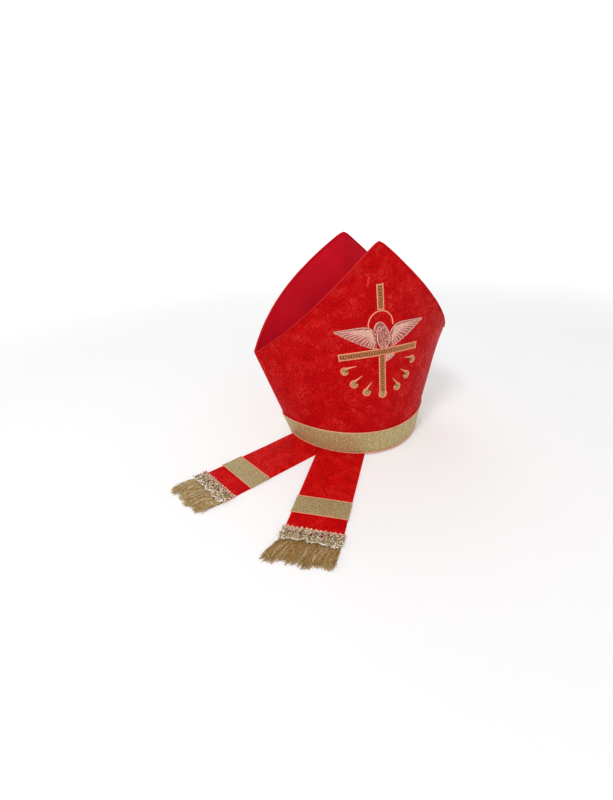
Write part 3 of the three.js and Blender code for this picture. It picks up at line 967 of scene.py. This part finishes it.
S_BACK = -280 * MM
S_MEET = -79.1 * MM
S_RIM = -93.5 * MM
BACK_CORNER = Vector((-60 * MM, 67 * MM, 0))


def lappet_edges(side):
    """Left and right edge lines from the lace back to the rim at the back."""
    if side == "right":
        return ([on_table(side, s, -LAPPET_HALF, 0) for s in (S_CLOTH, S_BACK)],
                [on_table(side, s, LAPPET_HALF, 0) for s in (S_CLOTH, S_BACK)])
    beside = on_table("right", S_BACK, -LAPPET_HALF - 0.1 * MM, 0)
    left = [on_table(side, S_CLOTH, -LAPPET_HALF, 0), on_table(side, S_RIM, -LAPPET_HALF, 0), BACK_CORNER]
    right = [on_table(side, S_CLOTH, LAPPET_HALF, 0), on_table(side, S_MEET, LAPPET_HALF, 0), beside]
    return left, right


def spaced(points, count):
    total = [0.0]
    for a, b in zip(points, points[1:]):
        total.append(total[-1] + (b - a).length)
    out, j = [], 0
    for want in steps(0, total[-1], count):
        while j < len(points) - 2 and total[j + 1] < want:
            j += 1
        out.append(points[j].lerp(points[j + 1], (want - total[j]) / (total[j + 1] - total[j])))
    return out


def ripple(side, s, e):
    """Height of the slight unevenness of a lappet's cloth."""
    seed = 11 if side == "left" else 17
    return 0.22 * MM * wander(seed, s / (17 * MM), e / (14 * MM))


def lappet_cloth(side):
    left, right = (spaced(line, 160) for line in lappet_edges(side))
    top, under = [], []
    profile = [(0.0, 0.35), (0.012, 0.8), (0.035, 1.0)] + [(t, 1.0) for t in steps(0.08, 0.92, 22)]
    profile += [(0.965, 1.0), (0.988, 0.8), (1.0, 0.35)]
    for a, b in zip(left, right):
        row, flat = [], []
        for t, fill in profile:
            point = a.lerp(b, t)
            s, e = to_lappet(side, point)
            z = 0.1 * MM + (LAPPET_TOP - 0.3 * MM) * fill + ripple(side, s, e) * fill
            row.append((Vector((point.x, point.y, z)), (e, s)))
            flat.append((Vector((point.x, point.y, 0.0)), (e, s)))
        top.append(row)
        under.append(flat)
    build = Build()
    build.grid(top)
    build.grid(under, flip=True, slot=1)
    for i in (0, -1):
        build.grid([[a, b] for a, b in zip(top[i], under[i])], flip=i == 0, slot=1)
    for j, flip in ((0, True), (-1, False)):
        build.grid([[a[j], b[j]] for a, b in zip(top, under)], flip=not flip, slot=1)
    return build.make(f"lappet_{side}_cloth", [LAPPET_DAMASK_LIT, LINING], weld=0.01 * MM)


def lappet_stripe(side):
    """Galloon across the lappet, turned over its sides."""
    rows, base = [], LAPPET_TOP + 0.05 * MM
    for s in steps(1.2 * MM, STRIPE - 1.2 * MM, 26):
        row = []
        for e in steps(-LAPPET_HALF, LAPPET_HALF, 40):
            round_off = 1 - 0.7 * max((abs(e) - LAPPET_HALF + 1 * MM) / MM, 0) ** 2
            z = base + (0.55 * MM + ripple(side, s, e)) * round_off
            row.append((on_table(side, s, e * 1.004, z), (e, s)))
        row.append((on_table(side, s, LAPPET_HALF * 1.01, 0.6 * MM), (LAPPET_HALF + MM, s)))
        row.insert(0, (on_table(side, s, -LAPPET_HALF * 1.01, 0.6 * MM), (-LAPPET_HALF - MM, s)))
        rows.append(row)
    build = Build()
    build.grid(rows, flip=True)
    piece = build.make(f"lappet_{side}_galloon_braid", [GALLOON])
    solid = piece.modifiers.new("thickness", "SOLIDIFY")
    solid.thickness = 0.3 * MM
    solid.offset = -1
    return piece


def lappet_stripe_edges(side):
    build = Build()
    for s0 in (0.6 * MM, STRIPE - 0.6 * MM):
        for strand in (0, math.pi):
            path = []
            for e in steps(-LAPPET_HALF * 1.01, LAPPET_HALF * 1.01, 220):
                turn = 2 * math.pi * e / (3.1 * MM) + strand
                z = LAPPET_TOP + 0.75 * MM + ripple(side, s0, e) + 0.25 * MM * math.sin(turn)
                path.append(on_table(side, s0 + 0.4 * MM * math.cos(turn), e, z))
            build.tube(path, 0.5 * MM, 6)
    return build.make(f"lappet_{side}_galloon_edges", [SELVEDGE])


def lace_low(e):
    """Lower outline of the bead lace: uneven scallops."""
    half = LAPPET_HALF + 2 * MM
    scallop = abs(math.sin(2.5 * math.pi * (e + half) / half))
    return S_LACE + LACE_DEEP + 3.4 * MM * scallop + 2.4 * MM * wander(8, e / (7 * MM), 0)


def bead_lace(side):
    """Net, beads and stones.  Returns one piece for each kind of bead."""
    rnd = random.Random(21 if side == "left" else 22)
    half = LAPPET_HALF + 1.6 * MM
    base = LAPPET_TOP + 0.5 * MM
    net, silver, gold, pink, stones = Build(), Build(), Build(), Build(), Build()

    def spot(s, e, z):
        return on_table(side, s, e, base + z)

    for e in steps(-half, half, 13):
        pink.ball(spot(S_LACE + rnd.uniform(0.2, 1.2) * MM, e, 1.2 * MM), 1.15 * MM)
    for e in steps(-half, half, 44):
        wave = 0.5 * MM * math.sin(e / half * 40)
        pink.ball(spot(S_LACE + 3.1 * MM + wave, e, 0.8 * MM), 0.75 * MM)
    for row in range(9):
        s = S_LACE + (4.6 + 1.7 * row) * MM
        for k in range(32):
            e = lerp(-half, half, (k + 0.5 * (row % 2)) / 32)
            if rnd.random() < 0.12:
                continue
            jitter = Vector((rnd.uniform(-1, 1), rnd.uniform(-1, 1))) * 0.8 * MM
            target = silver if rnd.random() < 0.62 else gold
            target.ball(spot(s + jitter.x, e + jitter.y, rnd.uniform(0.5, 1.6) * MM),
                        rnd.uniform(0.5, 1.05) * MM)
    for k in range(90):
        e = lerp(-half, half, k / 89)
        edge = lace_low(e) - rnd.uniform(0, 2.4) * MM
        silver.ball(spot(edge, e, rnd.uniform(0.5, 1.2) * MM), rnd.uniform(0.5, 1.1) * MM)
        if k % 3 == 0:
            gold.ball(spot(edge - 3 * MM, e, 0.9 * MM), 0.8 * MM)
    for k in range(4):
        e = lerp(-0.72, 0.3, k / 3) * half
        stones.ball(spot(S_LACE + 9.4 * MM, e, 1.4 * MM), 2 * MM, squash=0.6, rings=6, sides=8)
        for a in steps(0, 2 * math.pi, 9)[:-1]:
            silver.ball(spot(S_LACE + 9.4 * MM + 2.7 * MM * math.cos(a), e + 2.7 * MM * math.sin(a), MM),
                        0.65 * MM, rings=4, sides=6)
    for k in range(5):
        e = lerp(0.1, 0.85, k / 4) * half
        stones.ball(spot(S_LACE + 4.8 * MM, e, 1.4 * MM), 1.1 * MM, squash=0.7)
    for hand in (-1, 1):
        for k in range(34):
            start = lerp(-half, half, k / 33)
            end = max(min(start + hand * 12 * MM, half), -half)
            path = []
            for t in steps(0, 1, 8):
                e = lerp(start, end, t)
                s = lerp(S_LACE, lace_low(e) - 0.6 * MM, t)
                path.append(spot(s, e, 0.35 * MM + 0.15 * MM * math.sin(9 * t + k)))
            net.tube(path, 0.28 * MM, 4)
    for s, wide in ((S_LACE + 0.6 * MM, 0.6), (S_LACE + 10.8 * MM, 0.45)):
        path = [spot(s, e, 0.4 * MM) for e in steps(-half, half, 50)]
        net.tube(path, wide * MM, 6)
    ground = Build()
    rows = []
    for e in steps(-half, half, 60):
        end = lace_low(e) - 0.8 * MM
        rows.append([(spot(lerp(S_LACE, end, t), e, 0.35 * MM + 0.3 * MM * wander(6, e / (2 * MM), 9 * t)),
                      (e, lerp(S_LACE, end, t))) for t in steps(0, 1, 24)])
    ground.grid(rows, flip=True)
    made = [(ground, "cloth", LACE_CLOTH), (net, "net", GOLD_BEAD), (silver, "silver_beads", SILVER_BEAD), (gold, "gold_beads", GOLD_BEAD),
            (pink, "pink_beads", PINK_BEAD), (stones, "stones", STONE)]
    return [build.make(f"lappet_{side}_lace_{part}", [material]) for build, part, material in made]


def fringe(side):
    """Ragged strands that splay towards the tips, and a few bright ones."""
    rnd = random.Random(31 if side == "left" else 32)
    plain, bright = Build(), Build()
    pale_share = 0.5 if side == "left" else 0.24
    tip_left, tip_right = (x * MM for x in LAPPETS[side]["tips"])
    start = S_CLOTH + 1 * MM
    for k in range(640):
        t = rnd.random()
        e0 = lerp(-LAPPET_HALF, LAPPET_HALF, t)
        e1 = lerp(tip_left, tip_right, t) + rnd.gauss(0, 1.6) * MM
        ragged = 0.85 + 0.12 * wander(41, t * 16, 0) + rnd.uniform(-0.14, 0.06)
        length = 40.5 * MM * min(ragged, 0.985)
        layer = rnd.random()
        crest = lerp(0.7 * MM, FRINGE_TOP - 0.8 * MM, layer)
        drift = rnd.uniform(-4, 4) * MM
        phase = rnd.uniform(0, 6.28)
        path = []
        for i, p in enumerate(steps(0, 1, 9)):
            s = start + length * p
            e = lerp(e0, e1, p ** 1.4) + drift * math.sin(2.6 * p + phase) * p
            e += 0.7 * MM * math.sin(13 * p + phase)
            if p < 0.24:
                z = lerp(0.6 * MM, LAPPET_TOP - 0.6 * MM, layer)
            else:
                fall = math.sin(min((p - 0.24) / 0.3, 1) * math.pi / 2)
                z = lerp(LAPPET_TOP * 0.6, crest, fall) * (1 - 0.62 * max(p - 0.5, 0) / 0.5)
            path.append(on_table(side, s, e, max(z, 0.45 * MM)))
        thick = rnd.uniform(0.3, 0.52) * MM
        radius = [thick * (1 if i < 8 else 0.5) for i in range(10)]
        (bright if rnd.random() < pale_share else plain).tube(path, radius, 5)
    return (plain.make(f"lappet_{side}_fringe_strands", [FRINGE_THREAD]),
            bright.make(f"lappet_{side}_fringe_bright_strands", [FRINGE_BRIGHT]))


# ---- put it together --------------------------------------------------------
for panel, side in ((FRONT, "front"), (BACK, "back")):
    place(panel_skin(panel, f"{side}_panel_damask"), "damask", f"{side}_panel")
    place(edge_piping(panel, f"{side}_panel_folded_edge"), "damask")
lining_cloth = place(crown_lining(), "lining", "crown_lining")
place(headband(), "galloon", "headband_galloon")
place(braid_edge("headband_lower_braid_edge", 0.95 * MM), "galloon_edge", "headband_lower_cord")
place(braid_edge("headband_upper_braid_edge", BAND_HEIGHT - 0.95 * MM), "galloon_edge",
      "headband_upper_cord")

place(upper_bar("upper_bar_stitching"), "gold_embroidery", "cross_upper_bar")
place(crossbar("crossbar_stitching"), "gold_embroidery", "cross_crossbar")
place(lower_bar("lower_bar_stitching"), "gold_embroidery", "cross_lower_bar")
place(halo("halo_stitching"), "gold_embroidery", "halo")
place(dove_body("dove_body_stitching"), "silver_embroidery", "dove_body")
place(dove_wing("dove_left_wing_stitching", -1), "silver_embroidery", "dove_left_wing")
place(dove_wing("dove_right_wing_stitching", 1), "silver_embroidery", "dove_right_wing")
place(dove_tail("dove_tail_stitching"), "silver_embroidery", "dove_tail")
for hand, side in ((-1, "left"), (1, "right")):
    for number, row in enumerate(FLAMES, 1):
        piece = flame(f"flame_{side}_{number}_stitching", row, hand)
        place(piece, "gold_embroidery", f"flame_{side}_{number}")

for side in LAPPETS:
    cloth = place(lappet_cloth(side), "damask", f"lappet_{side}")
    stripe = place(lappet_stripe(side), "galloon", f"lappet_{side}_galloon")
    edges = place(lappet_stripe_edges(side), "galloon_edge")
    lace = bead_lace(side)
    for piece in lace:
        place(piece, "bead_lace", f"lappet_{side}_bead_lace")
    strands = fringe(side)
    for piece in strands:
        place(piece, "fringe", f"lappet_{side}_fringe")


# ---- floor, light and camera -------------------------------------------------
def floor():
    """A pale floor that rises into a backdrop far away on every side."""
    flat, far, rise = 1.9, 4.2, 3.4
    build = Build()
    rows = []
    for i in range(96):
        a = 2 * math.pi * i / 96
        row = [(Vector((0.02 * math.cos(a), 0.02 * math.sin(a), 0)), (0, 0))]
        for t in steps(0, 1, 24):
            reach = lerp(flat, far, t)
            row.append((Vector((reach * math.cos(a), reach * math.sin(a), rise * t ** 2)), (0, 0)))
        rows.append(row)
    build.grid(rows, flip=True, closed=True)
    build.face([row[0] for row in rows])
    material, n, shader = surface("pale_floor", roughness=0.9, specular=0.05)
    grain = n.add("TexNoise", {"Vector": n.add("NewGeometry").outputs["Position"], "Scale": 3.0})
    shade = n.mix(grain.outputs[0], (0.9, 0.9, 0.9, 1), (0.94, 0.94, 0.94, 1))
    n.tree.links.new(shade, shader.inputs["Base Color"])
    shader.inputs["Emission Color"].default_value = (1, 1, 1, 1)
    away = n.add("VectorMath", {0: n.add("NewGeometry").outputs["Position"]}, operation="LENGTH")
    glow = n.math("MULTIPLY_ADD", n.step(away.outputs["Value"], 0.6, flat), 0.36, 0.14)
    n.tree.links.new(glow, shader.inputs["Emission Strength"])
    plane = build.make("floor", [material])


def light(name, place_at, aim, size, power, colour=(1, 1, 1)):
    data = bpy.data.lights.new(name, "AREA")
    data.size = size
    data.energy = power
    data.color = colour
    lamp = bpy.data.objects.new(name, data)
    lamp.location = place_at
    lamp.rotation_euler = (Vector(aim) - Vector(place_at)).to_track_quat("-Z", "Y").to_euler()
    bpy.context.collection.objects.link(lamp)


def camera():
    azimuth, elevation, roll = math.radians(16.5), math.radians(26.95), math.radians(-2.1)
    target = Vector((-75 * MM, 0, 50.8 * MM))
    distance, focal = 0.6495, 440.7
    back = Vector((-math.sin(azimuth) * math.cos(elevation),
                   -math.cos(azimuth) * math.cos(elevation), math.sin(elevation)))
    data = bpy.data.cameras.new("camera")
    data.sensor_width = 36
    data.lens = focal * 36 / 800
    data.clip_start = 0.01
    eye = bpy.data.objects.new("camera", data)
    aim = (-back).to_track_quat("-Z", "Y").to_matrix().to_4x4()
    spin = aim @ Matrix.Rotation(roll, 4, "Z")
    eye.matrix_world = Matrix.Translation(target + back * distance) @ spin
    bpy.context.collection.objects.link(eye)
    bpy.context.scene.camera = eye


floor()
world = bpy.data.worlds.new("studio")
world.use_nodes = True
world.node_tree.nodes["Background"].inputs["Color"].default_value = (1, 1, 1, 1)
world.node_tree.nodes["Background"].inputs["Strength"].default_value = 0.28
bpy.context.scene.world = world
light("key", (-0.9, -0.9, 1.5), (0, 0, 0.1), 0.45, 12.5)
light("back", (0.2, 1.2, 1.3), (0, 0, 0.15), 1.0, 3)
camera()
bpy.context.scene.view_settings.view_transform = "Standard"

bpy.context.view_layer.update()
